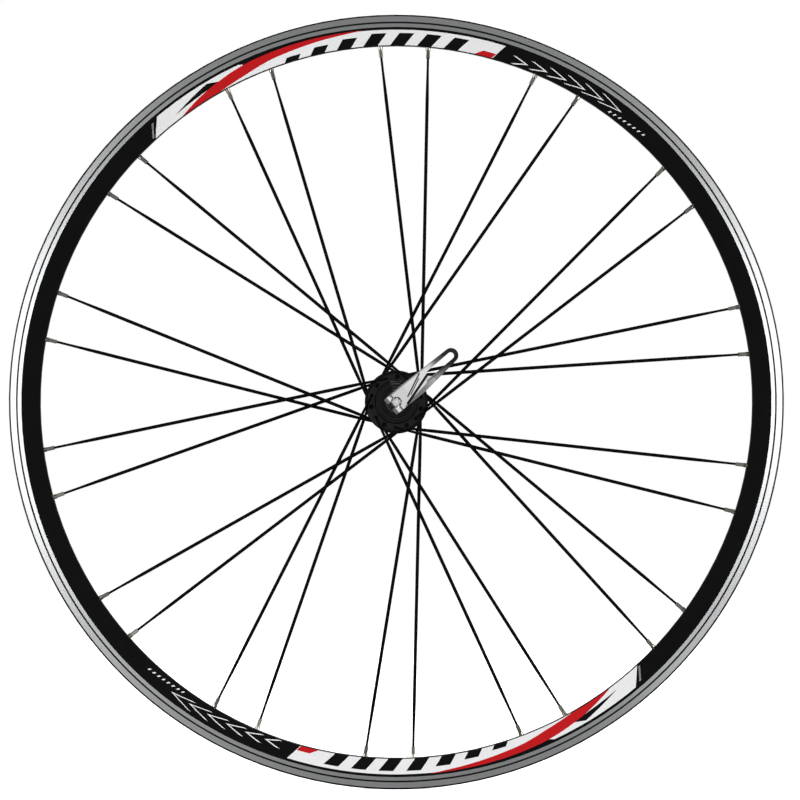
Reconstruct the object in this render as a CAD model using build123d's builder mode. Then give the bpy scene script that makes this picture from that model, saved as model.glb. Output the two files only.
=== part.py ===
from build123d import *
import math
import os

# Front road-bicycle wheel without its tyre: 28 bladed spokes laced three-cross,
# a cartridge-bearing hub, and a quick-release skewer with an external-cam lever.
# Origin at the wheel's centre, axle along Y, lever side at -Y, +Z up, millimetres.
# Angles round the wheel run clockwise from +Z, as seen from the lever side.

os.makedirs("parts", exist_ok=True)

# ---- rim: clincher extrusion for a 622 mm bead seat ----
RIM_OUTER_R = 317.0
RIM_HALF_WIDTH = 9.5        # over the brake tracks
BEAD_SEAT_R = 311.0
CHANNEL_HALF_WIDTH = 7.5    # 15 mm between the hooks' walls
BRAKE_INNER_R = 306.8       # where the brake track meets the painted side
NOSE_R = 291.4              # innermost face of the rim
NOSE_HALF_WIDTH = 4.9
NOSE_WALL = 2.0
NOSE_EDGE = 0.5
WELL_R = 307.6              # floor of the tyre well
WELL_HALF_WIDTH = 4.1
BRIDGE_WALL = 1.3
WEAR_GROOVE_R = 310.4
WEAR_GROOVE_WIDTH = 0.8
WEAR_GROOVE_DEPTH = 0.4
VALVE_HOLE_R = 3.25
VALVE_ANGLE = 91.2
ACCESS_HOLE_R = 3.9         # in the bridge, above every nipple
TAPE_THICKNESS = 0.6
DECAL_THICKNESS = 0.12
DECAL_HALF_ARC = 43.6       # degrees each side of the decal's middle

# ---- spokes and lacing ----
SPOKES_PER_SIDE = 14
STEP_ANGLE = 360.0 / SPOKES_PER_SIDE
FIRST_NIPPLE = {"left": 5.10, "right": -2.66}
HUB_TURN = {"left": -3.0, "right": 3.0}   # how far each flange's holes sit off the ideal
CROSS_ANGLE = 3 * STEP_ANGLE
HOLE_CIRCLE_R = 20.75
WIRE_R = 1.0
BLADE_WIDTH = 2.8
BLADE_THICKNESS = 1.1
HEAD_R = 1.9
HEAD_THICKNESS = 0.9
ELBOW_LENGTH = 6.5          # head seat to the centre line of the run
ELBOW_BEND_R = 2.2
ROUND_AT_HUB = 9.0
BLADE_FROM_HUB = 30.0
BLADE_TO_SEAT = 44.4
ROUND_TO_SEAT = 21.4
LACED_GAP = 1.9             # centre to centre where two spokes are interlaced
SEAT_R = 293.0              # nipple seats inside the rim
SEAT_Y = 1.2

# ---- nipples ----
NIPPLE_HEAD_R = 2.9
NIPPLE_HEAD = 2.2
NIPPLE_SHANK_R = 2.0
NIPPLE_ROUND = 4.0
NIPPLE_LENGTH = 10.4
NIPPLE_FLATS = 3.25
NIPPLE_BORE_R = 1.05

# ---- hub ----
FLANGE_Y = 35.0
FLANGE_HALF = 1.6
FLANGE_R = 25.75
FLANGE_BEVEL = 2.3
BARREL_R = 11.5
SPOKE_HOLE_R = 1.3
HEAD_RECESS = 0.4
SHOULDER_R = 17.0
SHOULDER_Y = 39.4
HUB_END_R = 15.0
HUB_END_Y = 42.0
HUB_INNER_R = 8.6

# ---- bearings, 10 x 26 x 8 ----
BEARING_BORE_R = 5.0
BEARING_OUTER_R = 13.0
BEARING_WIDTH = 8.0
BEARING_Y = 37.6            # middle of each bearing
PITCH_R = 9.0
BALL_R = 2.3
GROOVE_R = 2.45
BALLS = 7
INNER_SHOULDER_R = 7.3
OUTER_SHOULDER_R = 10.7
SEAL_HALF = 0.4
SEAL_Y = 3.4                # seal's middle, from the bearing's middle
SEAL_CLEARANCE = 0.25
CAGE_INNER_R = 8.1
CAGE_OUTER_R = 9.9
CAGE_BACK = 2.85            # solid side of the cage, from the balls' middle
CAGE_FRONT = 1.2            # open side
CAGE_POCKET_R = BALL_R + 0.12

# ---- axle and its ends, 100 mm over the locknuts ----
LOCKNUT_FACE = 50.0
AXLE_END = 54.2
STUB_R = 4.5
AXLE_BORE_R = 2.75
AXLE_MIDDLE_R = 6.5
SPACER_R = 7.2
SPACER_END = 44.6
DUST_CAP_R = 12.6
LOCKNUT_R = 9.0
SERRATIONS = 30             # on each locknut, the cup and the adjusting nut
SERRATION_WIDTH = 0.5
SERRATION_DEPTH = 0.3
SPANNER_FLATS = 16.6

# ---- skewer ----
CLAMP_FACE = 56.3           # inner faces of the cup and the nut
ROD_R = 2.45
ROD_TIP_R = 1.9             # riveted end that shows in the cam pin
ROD_TIP = 3.7               # how far it reaches past the pivot
RIVET_R = 2.6
RIVET_TOP = 3.3
PIN_FLAT = 2.7              # flat on the cam pin, under the rivet
ROD_END = 68.6
CUP_R = 10.6
CUP_RIM = 62.9
GRIP_WIDTH = 0.7            # the clamping faces' radial grooves
GRIP_DEPTH = 0.45
SPRING_RECESS_R = 6.9
SPRING_RECESS = 3.2
SPRING_WIRE_R = 0.4
SPRING_SMALL_R = 3.3
SPRING_LARGE_R = 6.1
SPRING_TURNS = 3.5
SPRING_START = AXLE_END + 1.4
SPRING_REACH = CLAMP_FACE + SPRING_RECESS - SPRING_WIRE_R - 0.05 - SPRING_START
POCKET_R = 8.9
POCKET_FLOOR = 61.0
SADDLE_LINE = 62.6          # lowest line of the saddle that the cam bears on
SADDLE_TOP = 64.8
SADDLE_CURVE_R = 13.0
CAM_GAP = 0.25
CAM_CLOSED_R = 7.6
CAM_LIFT_PER_TURN = 3.6     # how fast the cam's radius falls
PIVOT_Y = SADDLE_LINE + CAM_GAP + CAM_CLOSED_R
BARREL_PIN_R = 4.0          # middle of the cam pin, between the cheeks
BARREL_HALF = 2.6
TRUNNION_R = 2.55

# ---- lever: sizes run outward from the pivot and along to the tip ----
LEVER_ANGLE = 49.5          # clockwise from +Z
LEVER_LENGTH = 64.0
FORK_HALF_WIDTH = 7.7
FORK_HULL = 24.0            # length of the fork's block, about the pivot
PIN_END = FORK_HALF_WIDTH - 0.3
TIP_R = 6.0
BULGE_OUT = 23.0            # the lower edge swells towards this place
BULGE_DOWN = 2.4
BULGE_R = 6.3
FRONT_W = 5.6               # lever's front face, outward from the pivot
FRONT_RISE = 1.1            # how far that face bows out over the plate
CAM_CORNER = -2.2           # where the front face ends, behind the pivot
CAM_STOP = 156.0            # degrees of cam, short of the front face
BACK_MEETS = 52.0           # degrees of plain arc before the cam's high point
LOOP_START = 36.0
LOOP_END = LEVER_LENGTH - TIP_R - 0.4
LOOP_R = 2.75
SLOT_HALF = 2.8             # between the cam cheeks
SLOT_START = -12.0
SLOT_END = 3.0
WELL_MOUTH_R = 4.4          # round opening over the barrel, in the front face
BARREL_ROOM_R = 4.25
PIN_CLEARANCE = 0.08
# Facet down the lower edge: distance out, inner edge and depth of each section.
FACET = ((3.0, 7.3, 0.6), (36.0, 3.2, 4.4), (60.0, 4.2, 3.0))
FACET_OUTER = 9.0

# ---- adjusting nut ----
NUT_END = 68.0
NUT_BASE_R = 10.0
NUT_BASE_END = 60.0
NUT_BODY_R = 8.2
NUT_NOSE_R = 6.4
NUT_BORE_R = ROD_R + 0.05
INSERT_R = 4.2
INSERT_START = 64.4
INSERT_END = NUT_END - 0.4
SCALLOPS = 6
SCALLOP_R = 3.0


def polar(angle, radius, y=0.0):
    """Point at an angle clockwise from +Z, seen from the lever side."""
    turn = math.radians(angle)
    return Vector(radius * math.sin(turn), y, radius * math.cos(turn))


def turned(outline):
    """Solid turned about the axle from its closed outline of (y, radius) points."""
    with BuildPart() as made:
        with BuildSketch(Plane.YZ):
            with BuildLine():
                Polyline(*outline, close=True)
            make_face()
        revolve(axis=Axis.Y)
    return made.part


def save(part, name):
    """Label a finished piece and write it as its own node."""
    part.label = name
    export_step(part, f"parts/{name}.step")


SIDES = (("left", -1), ("right", 1))


# ---- where every spoke runs ----
def straight_run(side, number):
    """Plan line of one spoke, from its hub hole to its nipple seat."""
    rim_angle = FIRST_NIPPLE[side] + STEP_ANGLE * number
    sense = 1 if number % 2 == 0 else -1
    hub_angle = rim_angle + sense * CROSS_ANGLE + HUB_TURN[side]
    return polar(hub_angle, HOLE_CIRCLE_R), polar(rim_angle, SEAT_R)


def crossing(run_a, run_b):
    """Where two plan lines cross, as the fraction along the first."""
    start, step = run_a[0], run_a[1] - run_a[0]
    other, other_step = run_b[0], run_b[1] - run_b[0]
    determinant = step.X * -other_step.Z + other_step.X * step.Z
    gap = other - start
    return (gap.X * -other_step.Z + other_step.X * gap.Z) / determinant


def spoke_route(side, number):
    """Head seat, elbow corner, laced crossing and nipple seat of one spoke."""
    sign = dict(SIDES)[side]
    outside_run = number % 2 == 0
    hub, rim_seat = straight_run(side, number)
    neighbour = number + 1 if outside_run else number - 1
    other = straight_run(side, neighbour)
    share = crossing((hub, rim_seat), other)
    even_share = (share + crossing(other, (hub, rim_seat))) / 2
    head_out = FLANGE_Y + FLANGE_HALF - HEAD_RECESS
    head_in = FLANGE_Y - FLANGE_HALF
    run_out = head_in + ELBOW_LENGTH
    run_in = head_out - ELBOW_LENGTH
    middle = (run_out + run_in) / 2
    laced = middle + (SEAT_Y - middle) * even_share
    laced += -LACED_GAP / 2 if outside_run else LACED_GAP / 2
    head_y = head_in if outside_run else head_out
    elbow_y = run_out if outside_run else run_in
    head = Vector(hub.X, sign * head_y, hub.Z)
    elbow = Vector(hub.X, sign * elbow_y, hub.Z)
    crossed = hub + (rim_seat - hub) * share
    cross = Vector(crossed.X, sign * laced, crossed.Z)
    seat = Vector(rim_seat.X, sign * SEAT_Y, rim_seat.Z)
    return head, elbow, cross, seat


ROUTES = {(side, n): spoke_route(side, n) for side, _ in SIDES for n in range(SPOKES_PER_SIDE)}


def seat_direction(route):
    """Unit vector along the last run of a spoke, outward to the rim."""
    return (route[3] - route[2]).normalized()


# ---- rim ----
with BuildPart() as drillings:
    for route in ROUTES.values():
        outward = seat_direction(route)
        seat = route[3]
        with BuildSketch(Plane(origin=seat, z_dir=outward)):
            Circle(NIPPLE_HEAD_R + 0.35)
        extrude(amount=NIPPLE_HEAD + 1.0)
        with BuildSketch(Plane(origin=seat, z_dir=outward)):
            Circle(NIPPLE_SHANK_R + 0.25)
        extrude(amount=-6.0)
        above = Vector(seat.X, 0, seat.Z).normalized()
        lifted = seat + outward * (WELL_R - SEAT_R)
        with BuildSketch(Plane(origin=above * (WELL_R - 4) + Vector(0, lifted.Y / 2, 0), z_dir=above)):
            Circle(ACCESS_HOLE_R)
        extrude(amount=6.0)
    with BuildSketch(Plane(origin=polar(VALVE_ANGLE, NOSE_R - 3), z_dir=polar(VALVE_ANGLE, 1))):
        Circle(VALVE_HOLE_R)
    extrude(amount=WELL_R - NOSE_R + 6)

with BuildPart() as rim:
    with BuildSketch(Plane.YZ):
        with BuildLine():
            outer_side = Polyline(
                (0, NOSE_R),
                (NOSE_HALF_WIDTH - 0.9, NOSE_R + 0.1),
                (NOSE_HALF_WIDTH, NOSE_R + NOSE_EDGE),
                (RIM_HALF_WIDTH - 0.25, BRAKE_INNER_R - 0.25),
                (RIM_HALF_WIDTH, BRAKE_INNER_R),
                (RIM_HALF_WIDTH, WEAR_GROOVE_R - WEAR_GROOVE_WIDTH / 2),
                (RIM_HALF_WIDTH - WEAR_GROOVE_DEPTH, WEAR_GROOVE_R - WEAR_GROOVE_WIDTH / 4),
                (RIM_HALF_WIDTH - WEAR_GROOVE_DEPTH, WEAR_GROOVE_R + WEAR_GROOVE_WIDTH / 4),
                (RIM_HALF_WIDTH, WEAR_GROOVE_R + WEAR_GROOVE_WIDTH / 2),
                (RIM_HALF_WIDTH, RIM_OUTER_R - 0.8),
                (RIM_HALF_WIDTH - 0.5, RIM_OUTER_R - 0.15),
                (RIM_HALF_WIDTH - 1.0, RIM_OUTER_R),
                (CHANNEL_HALF_WIDTH - 0.3, RIM_OUTER_R),
                (CHANNEL_HALF_WIDTH - 0.8, RIM_OUTER_R - 0.6),
                (CHANNEL_HALF_WIDTH - 0.8, RIM_OUTER_R - 1.4),
                (CHANNEL_HALF_WIDTH, RIM_OUTER_R - 2.6),
                (CHANNEL_HALF_WIDTH, BEAD_SEAT_R + 0.5),
                (CHANNEL_HALF_WIDTH - 0.5, BEAD_SEAT_R),
                (WELL_HALF_WIDTH + 1.6, BEAD_SEAT_R - 0.2),
                (WELL_HALF_WIDTH, WELL_R),
                (0, WELL_R),
            )
            mirror(outer_side, about=Plane.YZ)
        make_face()
        with BuildLine():
            cavity_side = Polyline(
                (0, NOSE_R + NOSE_WALL),
                (NOSE_HALF_WIDTH - 1.9, NOSE_R + NOSE_WALL + 0.1),
                (NOSE_HALF_WIDTH - 1.2, NOSE_R + NOSE_WALL + 0.7),
                (RIM_HALF_WIDTH - 1.8, BRAKE_INNER_R - 1.2),
                (RIM_HALF_WIDTH - 2.0, BRAKE_INNER_R + 0.6),
                (WELL_HALF_WIDTH + 1.4, BRAKE_INNER_R + 0.9),
                (WELL_HALF_WIDTH + 0.4, WELL_R - BRIDGE_WALL),
                (0, WELL_R - BRIDGE_WALL),
            )
            mirror(cavity_side, about=Plane.YZ)
        make_face(mode=Mode.SUBTRACT)
    revolve(axis=Axis.Y)
    add(drillings.part, mode=Mode.SUBTRACT)
save(rim.part, "rim")

with BuildPart() as rim_tape:
    with BuildSketch(Plane.YZ):
        with Locations((0, WELL_R + TAPE_THICKNESS / 2)):
            Rectangle(2 * WELL_HALF_WIDTH, TAPE_THICKNESS)
    revolve(axis=Axis.Y)
    with BuildSketch(Plane(origin=polar(VALVE_ANGLE, WELL_R - 2), z_dir=polar(VALVE_ANGLE, 1))):
        Circle(VALVE_HOLE_R)
    extrude(amount=5, mode=Mode.SUBTRACT)
save(rim_tape.part, "rim_tape")

# Decals: two thin arcs a side, on the painted cone between the nose and the brake track.
WALL_FOOT = (NOSE_HALF_WIDTH, NOSE_R + NOSE_EDGE)
WALL_HEAD = (RIM_HALF_WIDTH - 0.25, BRAKE_INNER_R - 0.25)


def wall_point(share, proud):
    """Point on the painted wall, at a share of its height, standing proud of it."""
    run = (WALL_HEAD[0] - WALL_FOOT[0], WALL_HEAD[1] - WALL_FOOT[1])
    length = math.hypot(*run)
    y = WALL_FOOT[0] + run[0] * share + run[1] / length * proud
    radius = WALL_FOOT[1] + run[1] * share - run[0] / length * proud
    return y, radius


for side, sign in SIDES:
    corners = [wall_point(0.02, 0), wall_point(0.95, 0), wall_point(0.95, DECAL_THICKNESS),
               wall_point(0.02, DECAL_THICKNESS)]
    with BuildPart() as decals:
        for middle_angle in (0, 180):
            begin = math.radians(middle_angle - DECAL_HALF_ARC)
            start = Plane(origin=(0, 0, 0), x_dir=(0, 1, 0), z_dir=(math.cos(begin), 0, -math.sin(begin)))
            with BuildSketch(start):
                with BuildLine():
                    Polyline(*[(sign * y, radius) for y, radius in corners], close=True)
                make_face()
            revolve(axis=Axis.Y, revolution_arc=2 * DECAL_HALF_ARC)
    save(decals.part, f"{side}_rim_decals")


# ---- spokes ----
def make_spoke(route):
    """J-bend bladed spoke: head, elbow, round neck, blade bent at the crossing, round end."""
    head, elbow, cross, seat = route
    first = (cross - elbow).normalized()
    last = (seat - cross).normalized()
    bisector = (first + last).normalized()
    neck = elbow + first * ROUND_AT_HUB
    through = (elbow - head).normalized()
    stations = (
        (neck, first, WIRE_R, WIRE_R),
        (elbow + first * BLADE_FROM_HUB, first, BLADE_WIDTH / 2, BLADE_THICKNESS / 2),
        (cross, bisector, BLADE_WIDTH / 2, BLADE_THICKNESS / 2),
        (seat - last * BLADE_TO_SEAT, last, BLADE_WIDTH / 2, BLADE_THICKNESS / 2),
        (seat - last * ROUND_TO_SEAT, last, WIRE_R, WIRE_R),
        (seat, last, WIRE_R, WIRE_R),
    )
    with BuildPart() as spoke:
        with BuildLine():
            FilletPolyline(head, elbow, neck, radius=ELBOW_BEND_R)
        with BuildSketch(Plane(origin=head, z_dir=through)):
            Circle(WIRE_R)
        sweep()
        for place, along, half_width, half_thickness in stations:
            across = along.cross(Vector(0, 1, 0)).normalized()
            with BuildSketch(Plane(origin=place, x_dir=across, z_dir=along)):
                Ellipse(half_width, half_thickness)
        loft(ruled=True)
        with BuildSketch(Plane(origin=head, z_dir=-through)):
            Circle(HEAD_R)
        extrude(amount=HEAD_THICKNESS)
        chamfer(faces().sort_by(Axis(head, -through))[-1].edges(), 0.4)
    return spoke.part


for side, _ in SIDES:
    for number in range(SPOKES_PER_SIDE):
        save(make_spoke(ROUTES[side, number]), f"{side}_spoke_{number + 1:02d}")

# ---- nipples ----
with BuildPart() as nipples:
    for route in ROUTES.values():
        outward = seat_direction(route)
        seat = route[3]
        with BuildSketch(Plane(origin=seat, z_dir=outward)):
            Circle(NIPPLE_HEAD_R)
        extrude(amount=NIPPLE_HEAD, taper=18)
        with BuildSketch(Plane(origin=seat, z_dir=-outward)):
            Circle(NIPPLE_SHANK_R)
        extrude(amount=NIPPLE_ROUND)
        with BuildSketch(Plane(origin=seat, z_dir=-outward).offset(NIPPLE_ROUND)):
            Circle(NIPPLE_SHANK_R)
            Rectangle(NIPPLE_FLATS, NIPPLE_FLATS, mode=Mode.INTERSECT)
        extrude(amount=NIPPLE_LENGTH - NIPPLE_ROUND)
        with BuildSketch(Plane(origin=seat, z_dir=-outward).offset(-NIPPLE_HEAD - 1)):
            Circle(NIPPLE_BORE_R)
        extrude(amount=NIPPLE_LENGTH + NIPPLE_HEAD + 2, mode=Mode.SUBTRACT)
save(nipples.part, "spoke_nipples")

# ---- hub shell ----
with BuildPart() as hub_shell:
    with BuildSketch(Plane.YZ):
        with BuildLine():
            half_shell = Polyline(
                (0, BARREL_R),
                (18, BARREL_R),
                (26, BARREL_R + 1.2),
                (31, BARREL_R + 3.6),
                (FLANGE_Y - FLANGE_HALF, SHOULDER_R),
                (FLANGE_Y - FLANGE_HALF, FLANGE_R - 0.6),
                (FLANGE_Y - FLANGE_HALF + 0.6, FLANGE_R),
                (FLANGE_Y + FLANGE_HALF - 1.1, FLANGE_R),
                (FLANGE_Y + FLANGE_HALF - 0.6, FLANGE_R - 0.5),
                (FLANGE_Y + FLANGE_HALF - 0.15, FLANGE_R - FLANGE_BEVEL),
                (FLANGE_Y + FLANGE_HALF, FLANGE_R - FLANGE_BEVEL - 0.4),
                (FLANGE_Y + FLANGE_HALF, SHOULDER_R + 0.8),
                (FLANGE_Y + FLANGE_HALF + 0.8, SHOULDER_R),
                (SHOULDER_Y - 0.5, SHOULDER_R),
                (SHOULDER_Y, SHOULDER_R - 0.5),
                (SHOULDER_Y, HUB_END_R + 0.4),
                (SHOULDER_Y + 0.4, HUB_END_R),
                (HUB_END_Y - 0.4, HUB_END_R),
                (HUB_END_Y, HUB_END_R - 0.4),
                (HUB_END_Y, BEARING_OUTER_R),
                (BEARING_Y - BEARING_WIDTH / 2, BEARING_OUTER_R),
                (BEARING_Y - BEARING_WIDTH / 2, OUTER_SHOULDER_R),
                (BEARING_Y - BEARING_WIDTH / 2 - 1.5, HUB_INNER_R),
                (0, HUB_INNER_R),
            )
            mirror(half_shell, about=Plane.YZ)
        make_face()
    revolve(axis=Axis.Y)
    for side, sign in SIDES:
        holes = [(ROUTES[side, n][0].X, ROUTES[side, n][0].Z) for n in range(SPOKES_PER_SIDE)]
        with BuildSketch(Plane.XZ.offset(-sign * FLANGE_Y)):
            with Locations(*holes):
                Circle(SPOKE_HOLE_R)
        extrude(amount=FLANGE_HALF + 1, both=True, mode=Mode.SUBTRACT)
        outer_face = -sign * (FLANGE_Y + FLANGE_HALF - HEAD_RECESS)
        with BuildSketch(Plane.XZ.offset(outer_face)):
            with Locations(*holes[1::2]):
                Circle(HEAD_R + 0.3)
        extrude(amount=-sign, mode=Mode.SUBTRACT)
save(hub_shell.part, "hub_shell")


# ---- bearings ----
def groove(centre, points=9, outward=True):
    """Raceway arc of (y, radius) points about the ball circle, from low y to high y."""
    reach = math.acos((OUTER_SHOULDER_R - PITCH_R) / GROOVE_R)
    arc = []
    for step in range(points):
        swing = -reach + 2 * reach * step / (points - 1)
        lift = GROOVE_R * math.cos(swing)
        arc.append((centre + GROOVE_R * math.sin(swing), PITCH_R + (lift if outward else -lift)))
    return arc


def bearing_ring(centre, outer):
    """Inner or outer ring of a cartridge bearing, with its raceway groove."""
    low, high = centre - BEARING_WIDTH / 2, centre + BEARING_WIDTH / 2
    back = BEARING_OUTER_R if outer else BEARING_BORE_R
    shoulder = OUTER_SHOULDER_R if outer else INNER_SHOULDER_R
    race = groove(centre, outward=outer)
    return turned([(low, back), (low, shoulder), *race, (high, shoulder), (high, back)])


with BuildPart() as bearing_seals:
    for centre in (-BEARING_Y, BEARING_Y):
        for face in (-SEAL_Y, SEAL_Y):
            with BuildSketch(Plane.XZ.offset(-(centre + face))):
                Circle(OUTER_SHOULDER_R)
                Circle(INNER_SHOULDER_R + SEAL_CLEARANCE, mode=Mode.SUBTRACT)
            extrude(amount=SEAL_HALF, both=True)
save(bearing_seals.part, "bearing_seals")

for side, sign in SIDES:
    centre = sign * BEARING_Y
    save(bearing_ring(centre, outer=True), f"{side}_bearing_outer_ring")
    save(bearing_ring(centre, outer=False), f"{side}_bearing_inner_ring")
    places = [polar(360 / BALLS * n, PITCH_R, centre) for n in range(BALLS)]
    with BuildPart() as balls:
        with Locations(*places):
            Sphere(BALL_R)
    save(balls.part, f"{side}_bearing_balls")
    back, front = centre + sign * CAGE_BACK, centre - sign * CAGE_FRONT
    with BuildPart() as cage:
        with BuildSketch(Plane.YZ):
            with BuildLine():
                Polyline((back, CAGE_INNER_R), (back, CAGE_OUTER_R), (front, CAGE_OUTER_R),
                         (front, CAGE_INNER_R), close=True)
            make_face()
        revolve(axis=Axis.Y)
        for n in range(BALLS):
            outward = polar(360 / BALLS * n, 1)
            with BuildSketch(Plane(origin=places[n] - outward * 2, z_dir=outward)):
                Circle(CAGE_POCKET_R)
            extrude(amount=4, mode=Mode.SUBTRACT)
    save(cage.part, f"{side}_bearing_cage")

# ---- axle and its ends ----
with BuildPart() as axle:
    with BuildSketch(Plane.YZ):
        with BuildLine():
            half_axle = Polyline(
                (0, AXLE_MIDDLE_R),
                (BEARING_Y - BEARING_WIDTH / 2, AXLE_MIDDLE_R),
                (BEARING_Y - BEARING_WIDTH / 2, BEARING_BORE_R),
                (LOCKNUT_FACE - 0.6, BEARING_BORE_R),
                (LOCKNUT_FACE - 0.6, STUB_R),
                (AXLE_END - 0.5, STUB_R),
                (AXLE_END, STUB_R - 0.5),
                (AXLE_END, AXLE_BORE_R),
                (0, AXLE_BORE_R),
            )
            mirror(half_axle, about=Plane.YZ)
        make_face()
    revolve(axis=Axis.Y)
save(axle.part, "axle")

for side, sign in SIDES:
    spacer = [(BEARING_Y + BEARING_WIDTH / 2, BEARING_BORE_R), (BEARING_Y + BEARING_WIDTH / 2, SPACER_R),
              (SPACER_END, SPACER_R), (SPACER_END, BEARING_BORE_R)]
    save(turned([(sign * y, r) for y, r in spacer]), f"{side}_spacer")
    dust_cap = [(HUB_END_Y + 0.5, SPACER_R), (HUB_END_Y + 0.5, DUST_CAP_R), (SPACER_END - 0.9, DUST_CAP_R),
                (SPACER_END - 0.3, DUST_CAP_R - 0.6), (SPACER_END - 0.3, LOCKNUT_R + 1.8),
                (SPACER_END - 0.7, LOCKNUT_R + 1.4), (SPACER_END - 0.7, SPACER_R)]
    save(turned([(sign * y, r) for y, r in dust_cap]), f"{side}_dust_cap")

for side, sign in SIDES:
    outline = [(SPACER_END, BEARING_BORE_R), (SPACER_END, LOCKNUT_R - 0.4), (SPACER_END + 0.4, LOCKNUT_R),
               (LOCKNUT_FACE - 0.5, LOCKNUT_R), (LOCKNUT_FACE, LOCKNUT_R - 0.5),
               (LOCKNUT_FACE, STUB_R), (LOCKNUT_FACE - 0.6, STUB_R), (LOCKNUT_FACE - 0.6, BEARING_BORE_R)]
    with BuildPart() as locknut:
        with BuildSketch(Plane.YZ):
            with BuildLine():
                Polyline(*[(sign * y, r) for y, r in outline], close=True)
            make_face()
        revolve(axis=Axis.Y)
        with BuildSketch(Plane.XZ.offset(-sign * LOCKNUT_FACE)):
            with PolarLocations(LOCKNUT_R - 1.6, SERRATIONS):
                Rectangle(2.2, SERRATION_WIDTH)
        extrude(amount=sign * SERRATION_DEPTH, mode=Mode.SUBTRACT)
        with BuildSketch(Plane.XZ.offset(-sign * (SPACER_END + 2.4))):
            Rectangle(2 * LOCKNUT_R + 2, 2 * LOCKNUT_R + 2)
            Rectangle(2 * LOCKNUT_R + 2, SPANNER_FLATS, mode=Mode.SUBTRACT)
        extrude(amount=1.6, both=True, mode=Mode.SUBTRACT)
    save(locknut.part, f"{side}_locknut")

# ---- quick-release skewer ----
PIVOT = Vector(0, -PIVOT_Y, 0)
ALONG = polar(LEVER_ANGLE, 1)                      # from the pivot to the lever's tip
PIN_AXIS = polar(LEVER_ANGLE + 90, 1)              # the cam pin's own axis
PLAN = Plane(origin=PIVOT, x_dir=ALONG, z_dir=(0, -1, 0))
PROFILE = Plane(origin=PIVOT, x_dir=ALONG, z_dir=PIN_AXIS)

with BuildPart() as clamp_cup:
    with BuildSketch(Plane.YZ):
        with BuildLine():
            Polyline(
                (-CLAMP_FACE, SPRING_RECESS_R),
                (-CLAMP_FACE, CUP_R - 0.5),
                (-CLAMP_FACE - 0.5, CUP_R),
                (-CUP_RIM + 1.2, CUP_R),
                (-CUP_RIM, CUP_R - 0.9),
                (-CUP_RIM, POCKET_R),
                (-POCKET_FLOOR, POCKET_R),
                (-POCKET_FLOOR, ROD_R + 0.25),
                (-CLAMP_FACE - SPRING_RECESS, ROD_R + 0.25),
                (-CLAMP_FACE - SPRING_RECESS, SPRING_RECESS_R),
                close=True,
            )
        make_face()
    revolve(axis=Axis.Y)
    with BuildSketch(Plane.XZ.offset(CLAMP_FACE)):
        with PolarLocations((SPRING_RECESS_R + CUP_R) / 2, SERRATIONS):
            Rectangle(2.6, GRIP_WIDTH)
    extrude(amount=GRIP_DEPTH, mode=Mode.SUBTRACT)
save(clamp_cup.part, "clamp_cup")

with BuildPart() as cam_saddle:
    with BuildSketch(Plane.XZ.offset(POCKET_FLOOR)):
        Circle(POCKET_R - 0.1)
        Circle(ROD_R + 0.25, mode=Mode.SUBTRACT)
    extrude(amount=SADDLE_TOP - POCKET_FLOOR)
    with BuildSketch(PROFILE):
        with Locations((0, SADDLE_CURVE_R + SADDLE_LINE - PIVOT_Y)):
            Circle(SADDLE_CURVE_R)
    extrude(amount=POCKET_R + 2, both=True, mode=Mode.SUBTRACT)
save(cam_saddle.part, "cam_saddle")

with BuildPart() as skewer_rod:
    with BuildSketch(Plane.YZ):
        with BuildLine():
            Polyline(
                (-PIVOT_Y - ROD_TIP, 0),
                (-PIVOT_Y - ROD_TIP, ROD_TIP_R - 0.2),
                (-PIVOT_Y - ROD_TIP + 0.2, ROD_TIP_R),
                (-PIVOT_Y - RIVET_TOP, ROD_TIP_R),
                (-PIVOT_Y - RIVET_TOP, RIVET_R - 0.1),
                (-PIVOT_Y - RIVET_TOP + 0.1, RIVET_R),
                (-PIVOT_Y - PIN_FLAT, RIVET_R),
                (-PIVOT_Y - PIN_FLAT, ROD_TIP_R),
                (-PIVOT_Y + 1, ROD_TIP_R),
                (-PIVOT_Y + 1, ROD_R),
                (ROD_END - 0.6, ROD_R),
                (ROD_END, ROD_R - 0.6),
                (ROD_END, 0),
                close=True,
            )
        make_face()
    revolve(axis=Axis.Y)
save(skewer_rod.part, "skewer_rod")

with BuildPart() as cam_pin:
    with BuildSketch(Plane(origin=PIVOT, x_dir=PIN_AXIS, z_dir=ALONG)):
        with BuildLine():
            Polyline((-PIN_END, 0), (-PIN_END, TRUNNION_R), (-BARREL_HALF, TRUNNION_R),
                     (-BARREL_HALF, BARREL_PIN_R - 0.4), (0.4 - BARREL_HALF, BARREL_PIN_R),
                     (BARREL_HALF - 0.4, BARREL_PIN_R), (BARREL_HALF, BARREL_PIN_R - 0.4),
                     (BARREL_HALF, TRUNNION_R), (PIN_END, TRUNNION_R), (PIN_END, 0), close=True)
        make_face()
    revolve(axis=Axis(PIVOT, PIN_AXIS))
    with BuildSketch(Plane.XZ.offset(PIVOT_Y + PIN_FLAT)):
        Circle(BARREL_PIN_R + 1)
    extrude(amount=2, mode=Mode.SUBTRACT)
    with BuildSketch(Plane.XZ.offset(PIVOT_Y - 1)):
        Circle(ROD_TIP_R)
    extrude(amount=BARREL_PIN_R + 3, mode=Mode.SUBTRACT)
    with BuildSketch(Plane.XZ.offset(PIVOT_Y - 1)):
        Circle(ROD_R)
    extrude(amount=-BARREL_PIN_R, mode=Mode.SUBTRACT)
save(cam_pin.part, "cam_pin")


def cam_point(turn):
    """Cam edge at an angle from the saddle's side round towards the fork's end."""
    radius = CAM_CLOSED_R - CAM_LIFT_PER_TURN * turn / 360
    return -radius * math.sin(math.radians(turn)), -radius * math.cos(math.radians(turn))


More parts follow.
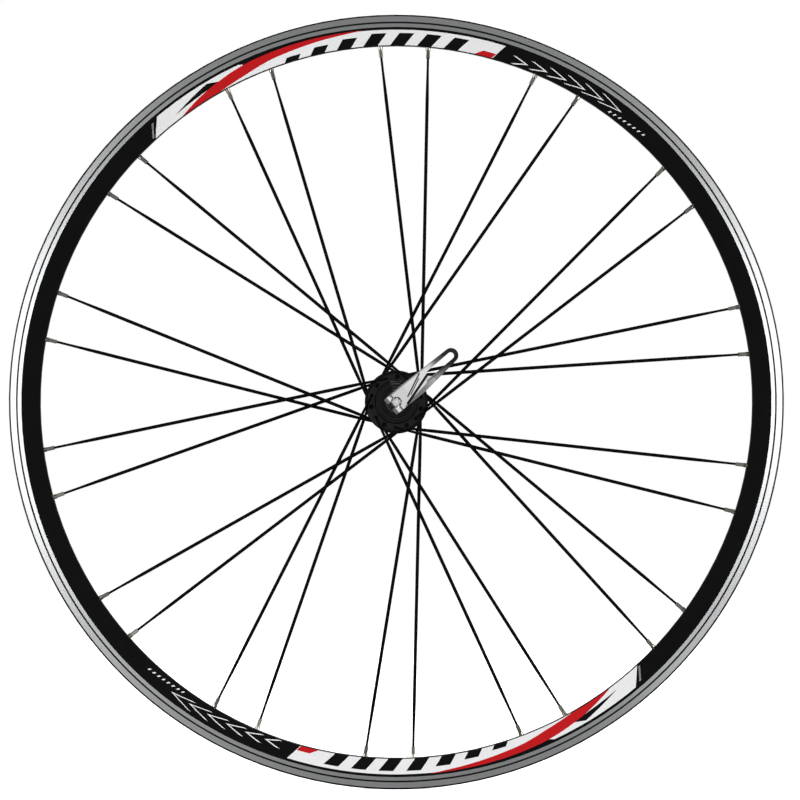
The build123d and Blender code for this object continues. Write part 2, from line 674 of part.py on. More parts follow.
# Lever: fork with two cam cheeks, a plate, and an open loop for a handle.
back_turn = math.radians(BACK_MEETS)
back_start = (CAM_CLOSED_R * math.sin(back_turn), -CAM_CLOSED_R * math.cos(back_turn))
back_middle = (CAM_CLOSED_R * math.sin(back_turn / 2), -CAM_CLOSED_R * math.cos(back_turn / 2))

with BuildPart() as facet:
    for reach, inner, depth in FACET:
        with BuildSketch(Plane(origin=PIVOT + ALONG * reach, x_dir=PIN_AXIS, z_dir=-ALONG)):
            with BuildLine():
                Polyline((inner, FACET_OUTER), (inner, FRONT_W), (FACET_OUTER, FRONT_W - depth),
                         (FACET_OUTER, FACET_OUTER), close=True)
            make_face()
    loft(ruled=True)

with BuildPart() as lever:
    with BuildSketch(PLAN):
        with Locations((0, 0)):
            Rectangle(FORK_HULL, 2 * FORK_HALF_WIDTH)
        with Locations((LEVER_LENGTH - TIP_R, 0)):
            Circle(TIP_R)
        with Locations((BULGE_OUT, -BULGE_DOWN)):
            Circle(BULGE_R)
        make_hull()
        with Locations((LOOP_START, 0), (LOOP_END, 0)):
            Circle(LOOP_R, mode=Mode.SUBTRACT)
        with Locations(((LOOP_START + LOOP_END) / 2, 0)):
            Rectangle(LOOP_END - LOOP_START, 2 * LOOP_R, mode=Mode.SUBTRACT)
    extrude(amount=14, both=True)
    with BuildSketch(PROFILE):
        with BuildLine():
            ThreePointArc(back_start, back_middle, (0, -CAM_CLOSED_R))
            Spline(*[cam_point(CAM_STOP * n / 8) for n in range(9)])
            Line(cam_point(CAM_STOP), (CAM_CORNER, FRONT_W))
            Line((CAM_CORNER, FRONT_W), (12, FRONT_W))
            Spline((12, FRONT_W), (38, FRONT_W + FRONT_RISE), (LEVER_LENGTH + 1, FRONT_W - 1.2),
                   tangents=[(1, 0), (1, -0.2)])
            Line((LEVER_LENGTH + 1, FRONT_W - 1.2), (LEVER_LENGTH + 1, FRONT_W - 5))
            Spline((LEVER_LENGTH + 1, FRONT_W - 5), (40, FRONT_W - 4), (18, FRONT_W - 6.2))
            Line((18, FRONT_W - 6.2), back_start)
        make_face()
    extrude(amount=FORK_HALF_WIDTH + 1, both=True, mode=Mode.INTERSECT)
    add(facet.part, mode=Mode.SUBTRACT)
    with BuildSketch(PLAN):
        with Locations(((SLOT_START + SLOT_END) / 2, 0)):
            Rectangle(SLOT_END - SLOT_START, 2 * SLOT_HALF)
    extrude(amount=14, both=True, mode=Mode.SUBTRACT)
    with BuildSketch(PLAN):
        Circle(WELL_MOUTH_R)
    extrude(amount=FRONT_W + 1, mode=Mode.SUBTRACT)
    with BuildSketch(Plane(origin=PIVOT, z_dir=PIN_AXIS)):
        Circle(BARREL_ROOM_R)
    extrude(amount=SLOT_HALF, both=True, mode=Mode.SUBTRACT)
    with BuildSketch(Plane(origin=PIVOT, z_dir=PIN_AXIS)):
        Circle(TRUNNION_R + PIN_CLEARANCE)
    extrude(amount=FORK_HALF_WIDTH + 1, both=True, mode=Mode.SUBTRACT)
save(lever.part, "lever")

# ---- springs: one conical spring inside each clamping face ----
for side, sign in SIDES:
    flare = math.degrees(math.atan2(SPRING_LARGE_R - SPRING_SMALL_R, SPRING_REACH))
    with BuildPart() as spring:
        with BuildLine():
            coil = Helix(
                pitch=SPRING_REACH / SPRING_TURNS,
                height=SPRING_REACH,
                radius=SPRING_SMALL_R,
                center=(0, sign * SPRING_START, 0),
                direction=(0, sign, 0),
                cone_angle=flare,
            )
        with BuildSketch(Plane(origin=coil @ 0, z_dir=coil % 0)):
            Circle(SPRING_WIRE_R)
        sweep(is_frenet=True)
    save(spring.part, f"{side}_spring")

# ---- adjusting nut and its insert ----
with BuildPart() as adjusting_nut:
    with BuildSketch(Plane.YZ):
        with BuildLine():
            Polyline(
                (CLAMP_FACE, SPRING_RECESS_R),
                (CLAMP_FACE, NUT_BASE_R - 0.4),
                (CLAMP_FACE + 0.4, NUT_BASE_R),
                (NUT_BASE_END - 0.6, NUT_BASE_R),
                (NUT_BASE_END, NUT_BODY_R),
                (NUT_END - 1.6, NUT_BODY_R - 0.9),
                (NUT_END, NUT_NOSE_R),
                (NUT_END, INSERT_R),
                (INSERT_START, INSERT_R),
                (INSERT_START, NUT_BORE_R),
                (CLAMP_FACE + SPRING_RECESS, NUT_BORE_R),
                (CLAMP_FACE + SPRING_RECESS, SPRING_RECESS_R),
                close=True,
            )
        make_face()
    revolve(axis=Axis.Y)
    with BuildSketch(Plane.XZ.offset(-CLAMP_FACE)):
        with PolarLocations((SPRING_RECESS_R + NUT_BASE_R) / 2, SERRATIONS):
            Rectangle(2.2, GRIP_WIDTH)
    extrude(amount=-GRIP_DEPTH, mode=Mode.SUBTRACT)
    with BuildSketch(Plane.XZ.offset(-NUT_BASE_END)):
        with PolarLocations(NUT_BODY_R + 1.9, SCALLOPS):
            Circle(SCALLOP_R)
    extrude(amount=-(NUT_END - NUT_BASE_END + 1), mode=Mode.SUBTRACT)
save(adjusting_nut.part, "adjusting_nut")

with BuildPart() as nut_insert:
    with BuildSketch(Plane.XZ.offset(-INSERT_START)):
        Circle(INSERT_R)
        Circle(NUT_BORE_R, mode=Mode.SUBTRACT)
    extrude(amount=-(INSERT_END - INSERT_START))
save(nut_insert.part, "nut_insert")
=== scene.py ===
import math

import bpy
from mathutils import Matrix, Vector
from mathutils.geometry import delaunay_2d_cdt


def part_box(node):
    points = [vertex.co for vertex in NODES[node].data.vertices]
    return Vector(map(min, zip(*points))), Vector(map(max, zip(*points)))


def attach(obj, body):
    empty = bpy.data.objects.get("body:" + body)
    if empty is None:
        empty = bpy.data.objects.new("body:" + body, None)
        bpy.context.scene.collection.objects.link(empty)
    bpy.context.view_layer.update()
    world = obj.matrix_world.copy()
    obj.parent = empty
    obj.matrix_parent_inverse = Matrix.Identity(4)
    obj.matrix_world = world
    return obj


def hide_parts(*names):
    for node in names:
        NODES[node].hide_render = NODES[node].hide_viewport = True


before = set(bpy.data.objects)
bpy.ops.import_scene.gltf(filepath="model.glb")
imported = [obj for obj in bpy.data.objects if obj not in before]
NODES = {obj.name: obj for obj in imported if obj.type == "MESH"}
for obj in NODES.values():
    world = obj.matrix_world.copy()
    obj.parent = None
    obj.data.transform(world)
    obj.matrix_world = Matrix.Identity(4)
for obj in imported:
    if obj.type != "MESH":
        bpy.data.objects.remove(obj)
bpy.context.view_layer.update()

# Front road wheel with a quick-release skewer. Metres; axle along Y, lever side at -Y, +Z up.
# Angles round the wheel run clockwise from +Z, as seen from the lever side.
MM = 0.001
SIDES = (("left", -1), ("right", 1))

# ---- sizes read from the frame ----
RIM_LOW, RIM_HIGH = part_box("rim")
RIM_R = RIM_HIGH.x
RIM_HALF = RIM_HIGH.y
FLOOR_Z = RIM_LOW.z

# ---- the rim's bands: distances from the axle, and from the outside face of the brake track ----
BRAKE_INNER_R = RIM_R - 10.2 * MM     # where the brake track meets the painted side
WEAR_GROOVE_R = RIM_R - 6.6 * MM
GROOVE_LIMIT_R = RIM_R - 5 * MM       # nothing of the wear groove lies further out
LIP_R = RIM_R - 0.75 * MM             # the rounded lip starts here
LIP_EDGE_R = RIM_R - 0.3 * MM         # the lip's bare outer edge starts here
FACE_SLACK = 0.02 * MM
RADIUS_SLACK = 0.05 * MM
GROOVE_DEPTH = 0.45 * MM
LIP_WIDTH = 1.2 * MM

# ---- the lever ----
LEVER_ANGLE = 49.5                    # of the closed lever, clockwise from +Z
LEVER_FRONT_Y = -73 * MM              # the lever's front faces lie beyond this
PIN_WELL_R = 4.5 * MM
PIN_WELL_Y = -76 * MM                 # the cam pin's well lies behind this
PIN_CLEAR = 7 * MM                    # edges this far along the lever are clear of the pin
LEVER_BEVEL = 0.9 * MM


def polar(angle, radius, y):
    """Point at an angle clockwise from +Z, seen from the lever side."""
    turn = math.radians(angle)
    return Vector((radius * math.sin(turn), y, radius * math.cos(turn)))


def lever_point(along, across, y):
    """Point from its distances along the closed lever and across it, clockwise side positive."""
    turn = math.radians(LEVER_ANGLE)
    return Vector((along * math.sin(turn) + across * math.cos(turn), y,
                   along * math.cos(turn) - across * math.sin(turn)))


# ---- camera, square-on from the lever side ----
CAMERA_AWAY = 5.0                     # from the rim's near face
HALF_VIEW = 0.3271                    # half of the view's width at the rim's near face
CAMERA_X = 2.95 * MM
CAMERA_Z = 1.65 * MM
SENSOR_WIDTH = 36
FAR_CLIP = 50


def make_camera():
    data = bpy.data.cameras.new("camera")
    data.sensor_width = SENSOR_WIDTH
    data.lens = CAMERA_AWAY * (SENSOR_WIDTH / 2) / HALF_VIEW
    data.clip_end = FAR_CLIP
    camera = bpy.data.objects.new("camera", data)
    camera.location = (CAMERA_X, -RIM_HALF - CAMERA_AWAY, CAMERA_Z)
    camera.rotation_euler = (math.pi / 2, 0, 0)
    bpy.context.scene.collection.objects.link(camera)
    bpy.context.scene.camera = camera


# ---- studio ----
WORLD_STRENGTH = 0.17                 # for everything but the camera, which sees plain white
FLOOR_REACH = 6
FLOOR_COLOR = (0.92, 0.92, 0.92, 1)
FLOOR_GLOW = 0.95
PLAIN_WHITE = (1, 1, 1, 1)


# Lamps: name, place, width, height and power in watts. The softboxes stand at the sides, the top and the
# back. The cards light the front, the lower facet and the cam of the lever.
LAMPS = (
    ("softbox_left", (-2.3, -1.35, 0), 1.4, 2.3, 98),
    ("softbox_right", (2.3, -1.35, 0), 1.4, 2.3, 98),
    ("card_front", lever_point(-0.23, 0, -2.9), 0.6, 0.6, 0.74),
    ("card_facet", lever_point(0.05, 0.38, -0.12), 0.1, 0.1, 0.022),
    ("card_cam", lever_point(-0.23, 0, -0.33), 0.2, 0.2, 0.088),
    ("softbox_top", (0, 0.4, 2.6), 1.6, 1.0, 14),
    ("softbox_back", (0, 2.6, 1.2), 2.0, 2.0, 40),
)


def area_light(name, place, width, height, power):
    """A soft rectangular lamp that faces the wheel's centre. It doesn't show in the picture itself."""
    data = bpy.data.lights.new(name, "AREA")
    data.shape = "RECTANGLE"
    data.size = width
    data.size_y = height
    data.energy = power
    lamp = bpy.data.objects.new(name, data)
    lamp.location = place
    lamp.rotation_euler = (-Vector(place)).to_track_quat("-Z", "Y").to_euler()
    lamp.visible_camera = False
    bpy.context.scene.collection.objects.link(lamp)


def make_world():
    """White for the camera, dim for everything else, so that reflections come from the lamps."""
    world = bpy.data.worlds.new("studio")
    bpy.context.scene.world = world
    world.use_nodes = True
    tree = world.node_tree
    tree.nodes.clear()
    out = tree.nodes.new("ShaderNodeOutputWorld")
    mix = tree.nodes.new("ShaderNodeMixShader")
    path = tree.nodes.new("ShaderNodeLightPath")
    seen = tree.nodes.new("ShaderNodeBackground")
    seen.inputs["Color"].default_value = PLAIN_WHITE
    lit = tree.nodes.new("ShaderNodeBackground")
    lit.inputs["Color"].default_value = PLAIN_WHITE
    lit.inputs["Strength"].default_value = WORLD_STRENGTH
    tree.links.new(path.outputs["Is Camera Ray"], mix.inputs[0])
    tree.links.new(lit.outputs[0], mix.inputs[1])
    tree.links.new(seen.outputs[0], mix.inputs[2])
    tree.links.new(mix.outputs[0], out.inputs[0])


def make_floor():
    """A pale floor that neither reflects in the wheel nor lights it."""
    mesh = bpy.data.meshes.new("floor")
    corners = [(x * FLOOR_REACH, y * FLOOR_REACH, FLOOR_Z) for x, y in ((-1, -1), (1, -1), (1, 1), (-1, 1))]
    mesh.from_pydata(corners, [], [(0, 1, 2, 3)])
    floor = bpy.data.objects.new("floor", mesh)
    bpy.context.scene.collection.objects.link(floor)
    floor.visible_glossy = False
    floor.visible_diffuse = False
    material = bpy.data.materials.new("floor")
    material.use_nodes = True
    shader = material.node_tree.nodes["Principled BSDF"]
    shader.inputs["Base Color"].default_value = FLOOR_COLOR
    shader.inputs["Roughness"].default_value = 0.9
    shader.inputs["Emission Color"].default_value = PLAIN_WHITE
    shader.inputs["Emission Strength"].default_value = FLOOR_GLOW
    mesh.materials.append(material)


# ---- materials ----
class Finish:
    """A principled material, with short calls for the textures that give it its detail."""

    def __init__(self, name, color, metallic=0.0, roughness=0.4, **sockets):
        self.material = bpy.data.materials.new(name)
        self.material.use_nodes = True
        self.nodes = self.material.node_tree.nodes
        self.links = self.material.node_tree.links
        self.shader = self.nodes["Principled BSDF"]
        self.shader.inputs["Base Color"].default_value = (*color, 1)
        self.shader.inputs["Metallic"].default_value = metallic
        self.shader.inputs["Roughness"].default_value = roughness
        for socket, value in sockets.items():
            self.shader.inputs[socket.replace("_", " ")].default_value = value
        self.place = self.nodes.new("ShaderNodeTexCoord").outputs["Object"]

    def math(self, operation, first, second=None):
        made = self.nodes.new("ShaderNodeMath")
        made.operation = operation
        for slot, value in ((0, first), (1, second)):
            if isinstance(value, (int, float)):
                made.inputs[slot].default_value = value
            elif value is not None:
                self.links.new(value, made.inputs[slot])
        return made.outputs[0]

    def split(self, vector):
        """The three parts of a vector."""
        made = self.nodes.new("ShaderNodeSeparateXYZ")
        self.links.new(vector, made.inputs[0])
        return made.outputs

    def mapped(self, vector, setting, value):
        """Coordinates turned or stretched, as the setting Rotation or Scale says."""
        made = self.nodes.new("ShaderNodeMapping")
        made.inputs[setting].default_value = value
        self.links.new(vector, made.inputs["Vector"])
        return made.outputs[0]

    def noise(self, scale, detail=3.0, vector=None):
        made = self.nodes.new("ShaderNodeTexNoise")
        made.inputs["Scale"].default_value = scale
        made.inputs["Detail"].default_value = detail
        self.links.new(vector or self.place, made.inputs["Vector"])
        return made.outputs["Fac"]

    def distance(self, first, second):
        """Distance from the line on which both values are zero."""
        return self.math("SQRT", self.math("ADD", self.math("MULTIPLY", first, first),
                                           self.math("MULTIPLY", second, second)))

    def ranged(self, value, low, high, start=0.0, stop=1.0):
        """A value that goes from low to high while the given one goes from start to stop."""
        made = self.nodes.new("ShaderNodeMapRange")
        made.inputs["From Min"].default_value = start
        made.inputs["From Max"].default_value = stop
        made.inputs["To Min"].default_value = low
        made.inputs["To Max"].default_value = high
        self.links.new(value, made.inputs["Value"])
        return made.outputs[0]

    def roughen(self, value, low, high):
        self.links.new(self.ranged(value, low, high), self.shader.inputs["Roughness"])

    def stroke(self, along, across, start, fall, half_width, low, high):
        """One on a straight stroke over the lever's face, with its sizes in millimetres."""
        line = self.math("ADD", across, self.math("SUBTRACT", self.math("MULTIPLY", along, fall), start * MM))
        beside = self.math("ABSOLUTE", line)
        inside = self.ranged(beside, 1, 0, half_width * MM, (half_width + 0.3) * MM)
        ends = self.math("MULTIPLY", self.ranged(along, 0, 1, low * MM, (low + 1) * MM),
                         self.ranged(along, 1, 0, (high - 1) * MM, high * MM))
        return self.math("MULTIPLY", inside, ends)

    def tint(self, value, dark, light, start=0.3, stop=0.7):
        """Colours the surface from dark to light while a value goes from start to stop."""
        ramp = self.nodes.new("ShaderNodeValToRGB")
        ramp.color_ramp.elements[0].color = (*dark, 1)
        ramp.color_ramp.elements[1].color = (*light, 1)
        ramp.color_ramp.elements[0].position = start
        ramp.color_ramp.elements[1].position = stop
        self.links.new(value, ramp.inputs[0])
        self.links.new(ramp.outputs[0], self.shader.inputs["Base Color"])

    def bump(self, value, distance, strength):
        made = self.nodes.new("ShaderNodeBump")
        made.inputs["Distance"].default_value = distance
        made.inputs["Strength"].default_value = strength
        self.links.new(value, made.inputs["Height"])
        self.links.new(made.outputs[0], self.shader.inputs["Normal"])

    def brushed_round(self):
        """Anisotropic shading along circles about the axle."""
        made = self.nodes.new("ShaderNodeTangent")
        made.direction_type = "RADIAL"
        made.axis = "Y"
        self.links.new(made.outputs[0], self.shader.inputs["Tangent"])


TURNING_MARKS = 5200                  # how finely the lathe's rings lie, in noise units over a metre
TRACK_COLOR = (0.80, 0.81, 0.82)


def brake_track_finish():
    """Turned aluminium with fine rings, and painted shade: a dark line in the wear groove and one under the
    lip.
    """
    finish = Finish("brake_track", TRACK_COLOR, metallic=1.0, roughness=0.6,
                    Anisotropic=0.8, Anisotropic_Rotation=0.25)
    finish.brushed_round()
    x, _, z = finish.split(finish.place)
    radius = finish.distance(x, z)
    outward = finish.nodes.new("ShaderNodeCombineXYZ")
    finish.links.new(finish.math("MULTIPLY", radius, TURNING_MARKS), outward.inputs[0])
    rings = finish.noise(1.0, 2.0, vector=outward.outputs[0])
    finish.roughen(rings, 0.54, 0.66)
    # Painted shade: the colour goes dark along the wear groove and just under the lip.
    from_groove = finish.math("ABSOLUTE", finish.math("SUBTRACT", radius, WEAR_GROOVE_R))
    unmarked = finish.math("MULTIPLY", finish.ranged(from_groove, 0, 1, 0.55 * MM, 0.85 * MM),
                        finish.ranged(radius, 1, 0, RIM_R - 1.6 * MM, RIM_R - 1.35 * MM))
    finish.tint(unmarked, (0.03, 0.03, 0.03), TRACK_COLOR)
    finish.bump(rings, 0.004 * MM, 0.6)
    return finish.material


def plain_metal(name, color, roughness, depth=0.006):
    """Bare metal with a fine grain; the grain's depth is in millimetres."""
    finish = Finish(name, color, metallic=1.0, roughness=roughness)
    grain = finish.noise(400)
    finish.roughen(grain, roughness * 0.75, roughness * 1.3)
    finish.bump(grain, depth * MM, 0.4)
    return finish.material


def gloss_black(name, roughness=0.14, grain=900, shine=0.22):
    """Black paint or anodising with a faint speckle."""
    color = (0.003, 0.003, 0.0033)
    finish = Finish(name, color, roughness=roughness, Specular_IOR_Level=shine)
    speckle = finish.noise(grain)
    finish.roughen(speckle, roughness * 0.8, roughness * 1.25)
    finish.tint(finish.noise(grain / 12), tuple(c * 0.85 for c in color), tuple(c * 1.25 for c in color))
    finish.bump(speckle, 0.0006 * MM, 0.35)
    return finish.material


def soft_plastic(name, color, roughness=0.5):
    """Plastic or vinyl with a faint mottle."""
    finish = Finish(name, color, roughness=roughness)
    speckle = finish.noise(1600)
    finish.tint(speckle, tuple(c * 0.9 for c in color), tuple(min(c * 1.1, 1) for c in color))
    finish.bump(speckle, 0.01 * MM, 0.4)
    return finish.material


# Dark marks on the lever's front. The first, fourth and last are painted shade: along the lower facet's inner
# edge, down the loop and along the upper edge; the two thin ones are stripes for an engraved mark. Columns:
# where each starts across the lever, how fast it falls, its half width, where it begins and ends along the
# lever (millimetres), and how dark it is.
LEVER_MARKS = (
    (8.7, 0.278, 0.95, 5, 36, 1),
    (6.9, 0.43, 0.5, 9, 30, 0.95),
    (8.5, 0.43, 0.35, 12, 27, 0.9),
    (3.4, 0, 0.9, 29, 62, 0.62),
    (-7.3, -0.02, 0.45, -3, 50, 0.62),
)
CHEEK_SHADE = 0.85                 # darkness of the painted shade across the pin's two cheeks and in the pin's well
# Painted shade: the lever's colour darkens between these two distances along it.
LOOP_SHADE_START, LOOP_SHADE_STOP = 39 * MM, 54 * MM
LOOP_END_LIGHT = 0.12                      # share of the light colour that is left at the loop's end, under the painted shade


def lever_finish():
    """Polished aluminium with painted shade that darkens it towards the loop's end, and dark marks on its
    front, mostly painted shade.
    """
    finish = Finish("polished_aluminium", (0.9, 0.9, 0.91), metallic=1.0, roughness=0.15)
    turned = finish.mapped(finish.place, "Rotation", (0, -math.radians(LEVER_ANGLE), 0))
    grain = finish.noise(1.0, vector=finish.mapped(turned, "Scale", (500, 500, 20)))
    finish.roughen(grain, 0.13, 0.17)
    across, depth, along = finish.split(turned)
    marks = 0
    # Painted shade along the facet and the edges, with the stripes, gathered into one darkness.
    for start, fall, half_width, low, high, darkness in LEVER_MARKS:
        mark = finish.stroke(along, across, start, fall, half_width, low, high)
        marks = finish.math("MAXIMUM", marks, finish.math("MULTIPLY", mark, darkness))
    sideways = finish.math("ABSOLUTE", across)
    lengthways = finish.math("ABSOLUTE", along)
    # Painted shade: a dark line across the cheeks where the cam's face steps down, and a dark ring in the
    # pin's well.
    cheek_shade = finish.math("MULTIPLY", finish.ranged(sideways, 0, 1, 3.7 * MM, 4.2 * MM),
                        finish.ranged(lengthways, CHEEK_SHADE, 0, 0.4 * MM, 0.9 * MM))
    from_pivot = finish.distance(along, across)
    well_shade = finish.math("MULTIPLY",
                       finish.ranged(from_pivot, CHEEK_SHADE, 0, PIN_WELL_R, PIN_WELL_R + 0.3 * MM),
                       finish.ranged(depth, 0, 1, PIN_WELL_Y, PIN_WELL_Y + 0.2 * MM))
    marks = finish.math("MAXIMUM", finish.math("MAXIMUM", marks, cheek_shade), well_shade)
    # The marks, painted shade and stripes, darken only the lever's front faces.
    front = finish.ranged(depth, 1, 0, LEVER_FRONT_Y, LEVER_FRONT_Y + 0.5 * MM)
    unmarked = finish.math("SUBTRACT", 1, finish.math("MULTIPLY", marks, front))
    # Painted shade that darkens the loop towards its end.
    loop_shade = finish.ranged(along, 1, LOOP_END_LIGHT, LOOP_SHADE_START, LOOP_SHADE_STOP)
    finish.tint(finish.math("MULTIPLY", unmarked, loop_shade), (0.02, 0.02, 0.02), (0.94, 0.94, 0.95), 0, 1)
    return finish.material


SHARP_ANGLE = math.radians(30)


def round_edges(node, width, keeps):
    """Softens those sharp edges of a CAD node that a test accepts, without moving its own vertices."""
    mesh = NODES[node].data
    faces_of = {}
    for face in mesh.polygons:
        for key in face.edge_keys:
            faces_of.setdefault(key, []).append(face.normal)
    weights = mesh.attributes.new("bevel_weight_edge", "FLOAT", "EDGE")
    for edge in mesh.edges:
        normals = faces_of[edge.key]
        sharp = len(normals) == 2 and normals[0].angle(normals[1], 0) > SHARP_ANGLE
        if sharp and all(keeps(mesh.vertices[n].co) for n in edge.vertices):
            weights.data[edge.index].value = 1
    bevel = NODES[node].modifiers.new("soft_edges", "BEVEL")
    bevel.width = width
    bevel.segments = 3
    bevel.limit_method = "WEIGHT"
    bevel.harden_normals = True


def on_lever_outline(place):
    """Whether a point is clear of the cam pin's seat, where the lever's edges stay crisp."""
    turn = math.radians(LEVER_ANGLE)
    return place.x * math.sin(turn) + place.z * math.cos(turn) > PIN_CLEAR


def paint(node, *materials):
    mesh = NODES[node].data
    mesh.materials.clear()
    for material in materials:
        mesh.materials.append(material)


# The rim's finishes; the third is gloss black, painted shade in the wear groove and in the crease under the
# lip.
PAINT, TRACK, GROOVE_SHADE, EDGE = range(4)


def rim_finish(face):
    """Which of the rim's finishes a face gets, by its distance from the axle and from the rim's middle; the
    wear groove and the crease under the lip get painted shade.
    """
    radius = math.hypot(face.center.x, face.center.z)
    sideways = abs(face.center.y)
    if radius > BRAKE_INNER_R - RADIUS_SLACK and sideways > RIM_HALF - FACE_SLACK:
        return TRACK
    if BRAKE_INNER_R < radius < GROOVE_LIMIT_R and sideways > RIM_HALF - GROOVE_DEPTH:
        return GROOVE_SHADE
    if radius > LIP_R and sideways > RIM_HALF - LIP_WIDTH:
        return GROOVE_SHADE if radius < LIP_EDGE_R else EDGE
    return PAINT


def dress_nodes():
    """Gives every CAD node its finish."""
    # The wear groove's gloss black is painted shade, as is the black in the crease under the lip.
    paint("rim", gloss_black("rim_paint"), brake_track_finish(), gloss_black("groove_shade", roughness=0.4),
          plain_metal("rim_edge", (0.7, 0.71, 0.72), 0.3))
    for face in NODES["rim"].data.polygons:
        face.material_index = rim_finish(face)

    spoke_black = gloss_black("spoke_black", roughness=0.5, grain=1500, shine=0.02)
    for name in NODES:
        if "_spoke_" in name:
            paint(name, spoke_black)

    turned_metal = plain_metal("turned_aluminium", (0.72, 0.73, 0.74), 0.3)
    cap_black = gloss_black("cap_black", roughness=0.2)
    nylon_black = soft_plastic("nylon_black", (0.02, 0.02, 0.02))
    paint("rim_tape", soft_plastic("tape_nylon", (0.03, 0.08, 0.25)))
    paint("spoke_nipples", plain_metal("nipple_nickel", (0.36, 0.35, 0.31), 0.3, depth=0.001))
    paint("hub_shell", gloss_black("hub_black"))
    paint("axle", turned_metal)
    paint("bearing_seals", nylon_black)
    paint("clamp_cup", cap_black)
    paint("adjusting_nut", cap_black)
    paint("cam_saddle", nylon_black)
    paint("skewer_rod", plain_metal("rod_steel", (0.92, 0.92, 0.93), 0.14, depth=0.002))
    paint("cam_pin", plain_metal("pin_steel", (0.8, 0.8, 0.82), 0.15))
    paint("lever", lever_finish())
    paint("nut_insert", soft_plastic("insert_nylon", (0.08, 0.14, 0.4)))

    steel = plain_metal("bearing_steel", (0.75, 0.75, 0.77), 0.2)
    each_side = {
        "bearing_outer_ring": plain_metal("blackened_steel", (0.02, 0.02, 0.02), 0.35),
        "bearing_inner_ring": steel,
        "bearing_balls": steel,
        "bearing_cage": soft_plastic("cage_nylon", (0.5, 0.45, 0.33)),
        "spacer": turned_metal,
        "dust_cap": cap_black,
        "locknut": cap_black,
        "spring": plain_metal("spring_steel", (0.6, 0.6, 0.62), 0.25),
        "rim_decals": gloss_black("decal_ground", roughness=0.18),
    }
    for side, _ in SIDES:
        for piece, material in each_side.items():
            paint(f"{side}_{piece}", material)

    for node in NODES.values():
        node.data.shade_smooth()
        node.data.set_sharp_from_angle(angle=SHARP_ANGLE)


# ---- decals: one sheet a side, cut into colours along crisp outlines ----
# A shape's corners are (degrees clockwise from the decal's middle, share of the painted wall's height).
BLACK, WHITE, RED, GREY = range(4)    # the decals' colours, in the order of their materials
WHITE_TOP = 0.91                      # a black line is left along the brake track
WHITE_GROUND = [(-42.4, 0), (-40.0, WHITE_TOP), (17.1, WHITE_TOP), (15.6, 0)]
SWOOSH_UPPER = [(-36.8, 0), (-33.0, 0.32), (-29.2, 0.56), (-24.8, 0.77), (-20.0, 0.86),
                (-15.0, 0.91), (-5.0, 0.95)]
SWOOSH_LOWER = [(-8.0, 0.83), (-12.0, 0.71), (-16.6, 0.56), (-20.6, 0.43), (-24.6, 0.2), (-29.4, 0)]
RED_WEDGE = [(12.6, 0), (13.9, 0.3), (16.0, 0.3), (15.5, 0)]
DART = [(-37.6, 0.3), (-30.8, 0.8), (-28.6, 0.5)]
WEDGE_OVER_SWOOSH = [(-25.6, 1), (-11.0, 1), (-11.0, 0.85), (-20.0, 0.7), (-24.2, 0.75)]
OUTLINE = 0.6                         # width of the white outlines, in degrees
DECAL_REACH = 43.6                    # from the decal's middle to its end, in degrees
DECAL_MIDDLES = (0, 180)
VINYL_THICKNESS = 0.12 * MM
SHEET_STEP = 1.09                     # the sheet bends with the rim at every such step, in degrees
CUT_TOLERANCE = 1e-6


def slash(foot, width, low, high, lean=2.1):
    """Leaning bar that starts at an angle on the wall's inner edge line."""
    return [(foot + lean * low, low), (foot + lean * high, high), (foot + width + lean * high, high),
            (foot + width + lean * low, low)]


def chevron(foot, reach, low, high):
    """Outline arrow head that points clockwise."""
    middle = (low + high) / 2
    return [(foot, low), (foot + OUTLINE, low), (foot + reach + OUTLINE, middle), (foot + OUTLINE, high),
            (foot, high), (foot + reach, middle)]


def black_marks():
    """A dart, a wedge over the swoosh and a row of leaning blocks of rising height."""
    blocks = [slash(-18.2 + 4.3 * n, 2.3, 0, min(0.26 + 0.15 * n, 0.72)) for n in range(7)]
    return [DART, WEDGE_OVER_SWOOSH] + blocks


def white_outlines():
    """Arrow heads drawn as outlines on the black end, and a row of short dashes under them."""
    heads = [chevron(18.6 + 3.0 * n, 2.2 + 0.3 * n, 0.04 + 0.05 * n, 0.52 + 0.07 * n) for n in range(6)]
    dashes = [slash(35.8 + 0.85 * n, 0.28, 0.12 + 0.03 * n, 0.26 + 0.03 * n) for n in range(8)]
    return heads + dashes


def grey_dashes():
    """A column of small bars at the decal's white end."""
    return [slash(-43.0, 0.35, 0.1 + 0.09 * n, 0.15 + 0.09 * n) for n in range(8)]


def smooth_curve(points, between=6):
    """Curve through points, with extra points between them."""
    curve = []
    for n in range(len(points) - 1):
        before, start = Vector(points[max(n - 1, 0)]), Vector(points[n])
        end, after = Vector(points[n + 1]), Vector(points[min(n + 2, len(points) - 1)])
        for step in range(between):
            t = step / between
            curve.append(tuple(0.5 * (2 * start + (end - before) * t
                                      + (2 * before - 5 * start + 4 * end - after) * t * t
                                      + (3 * start - before - 3 * end + after) * t ** 3)))
    return curve + [points[-1]]


def decal_layers():
    """Shapes from the bottom layer to the top, as (colour, corners)."""
    ground = [(-DECAL_REACH, 0), (-DECAL_REACH, 1), (DECAL_REACH, 1), (DECAL_REACH, 0)]
    swoosh = smooth_curve(SWOOSH_UPPER) + smooth_curve(SWOOSH_LOWER)
    layers = [(BLACK, ground), (WHITE, WHITE_GROUND)]
    layers += [(BLACK, mark) for mark in black_marks()]
    layers += [(RED, swoosh), (RED, RED_WEDGE)]
    layers += [(WHITE, mark) for mark in white_outlines()]
    layers += [(GREY, mark) for mark in grey_dashes()]
    return layers


def signed_area(corners):
    """Twice the signed area of an outline; it is positive anticlockwise."""
    return sum(a[0] * b[1] - b[0] * a[1] for a, b in zip(corners, corners[1:] + corners[:1]))


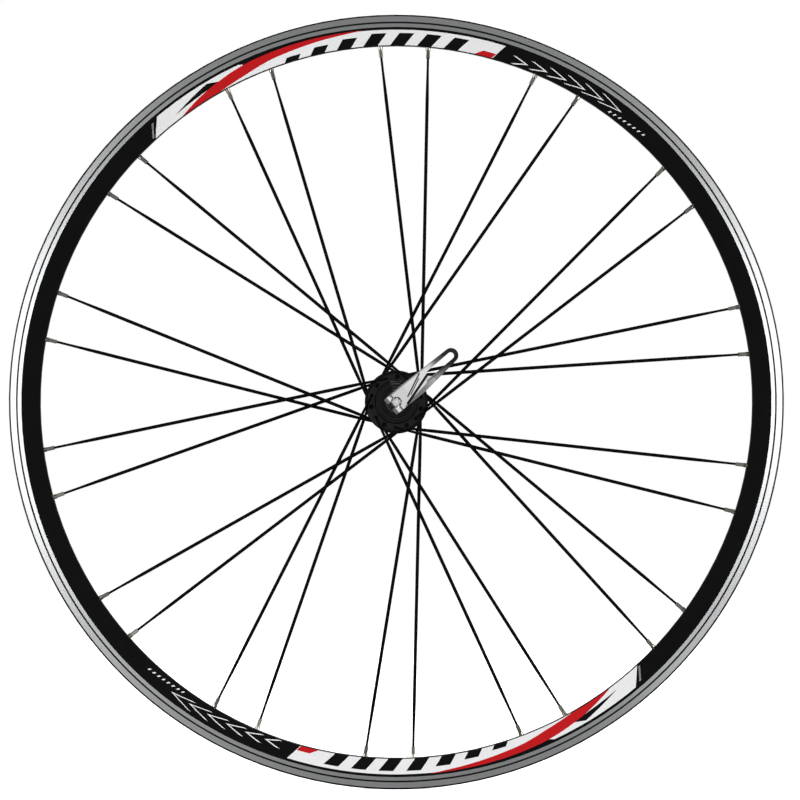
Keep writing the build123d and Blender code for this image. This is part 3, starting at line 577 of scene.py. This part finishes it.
def cut_sheet(layers):
    """One flat sheet of triangles, each with the colour of the top layer over it."""
    points, edges, faces = [], [], []
    for _, corners in layers:
        if signed_area(corners) < 0:
            corners = corners[::-1]
        first = len(points)
        points += [Vector(corner) for corner in corners]
        faces.append(list(range(first, len(points))))
    columns = round(2 * DECAL_REACH / SHEET_STEP)
    for n in range(1, columns):
        angle = -DECAL_REACH + 2 * DECAL_REACH * n / columns
        edges.append((len(points), len(points) + 1))
        points += [Vector((angle, 0)), Vector((angle, 1))]
    flat, _, triangles, _, _, sources = delaunay_2d_cdt(points, edges, faces, 1, CUT_TOLERANCE)
    colours = [layers[max(source)][0] for source in sources]
    return flat, triangles, colours


def painted_wall(side):
    """Foot and head of the line that a side's decals stand on, as (distance from the middle, radius)."""
    vertices = NODES[f"{side}_rim_decals"].data.vertices
    corners = [(abs(v.co.y), math.hypot(v.co.x, v.co.z)) for v in vertices]
    return Vector(min(corners, key=lambda corner: corner[1])), Vector(max(corners))


def make_decals():
    """Bends the flat sheet onto both sides of the rim, twice round each."""
    materials = (
        gloss_black("vinyl_black", roughness=0.18),
        soft_plastic("vinyl_white", (0.8, 0.8, 0.81), 0.25),
        soft_plastic("vinyl_red", (0.5, 0.004, 0.007), 0.25),
        soft_plastic("vinyl_grey", (0.4, 0.4, 0.4), 0.3),
    )
    flat, triangles, colours = cut_sheet(decal_layers())
    for side, sign in SIDES:
        foot, head = painted_wall(side)
        vertices, faces, painted = [], [], []
        for middle in DECAL_MIDDLES:
            first = len(vertices)
            for angle, share in flat:
                y, radius = foot.lerp(head, share)
                vertices.append(polar(middle - sign * angle, radius, sign * y))
            faces += [[first + corner for corner in triangle] for triangle in triangles]
            painted += colours
        mesh = bpy.data.meshes.new(f"{side}_decal_art")
        mesh.from_pydata(vertices, [], faces)
        if sign > 0:
            mesh.flip_normals()
        for material in materials:
            mesh.materials.append(material)
        for face, colour in zip(mesh.polygons, painted):
            face.material_index = colour
        art = bpy.data.objects.new(f"{side}_decal_art", mesh)
        bpy.context.scene.collection.objects.link(art)
        thicken = art.modifiers.new("vinyl", "SOLIDIFY")
        thicken.thickness = VINYL_THICKNESS
        thicken.offset = -1
        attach(art, "wheel")
        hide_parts(f"{side}_rim_decals")


make_camera()
make_world()
for lamp in LAMPS:
    area_light(*lamp)
make_floor()
dress_nodes()
round_edges("lever", LEVER_BEVEL, on_lever_outline)
make_decals()
bpy.context.scene.view_settings.view_transform = "Standard"
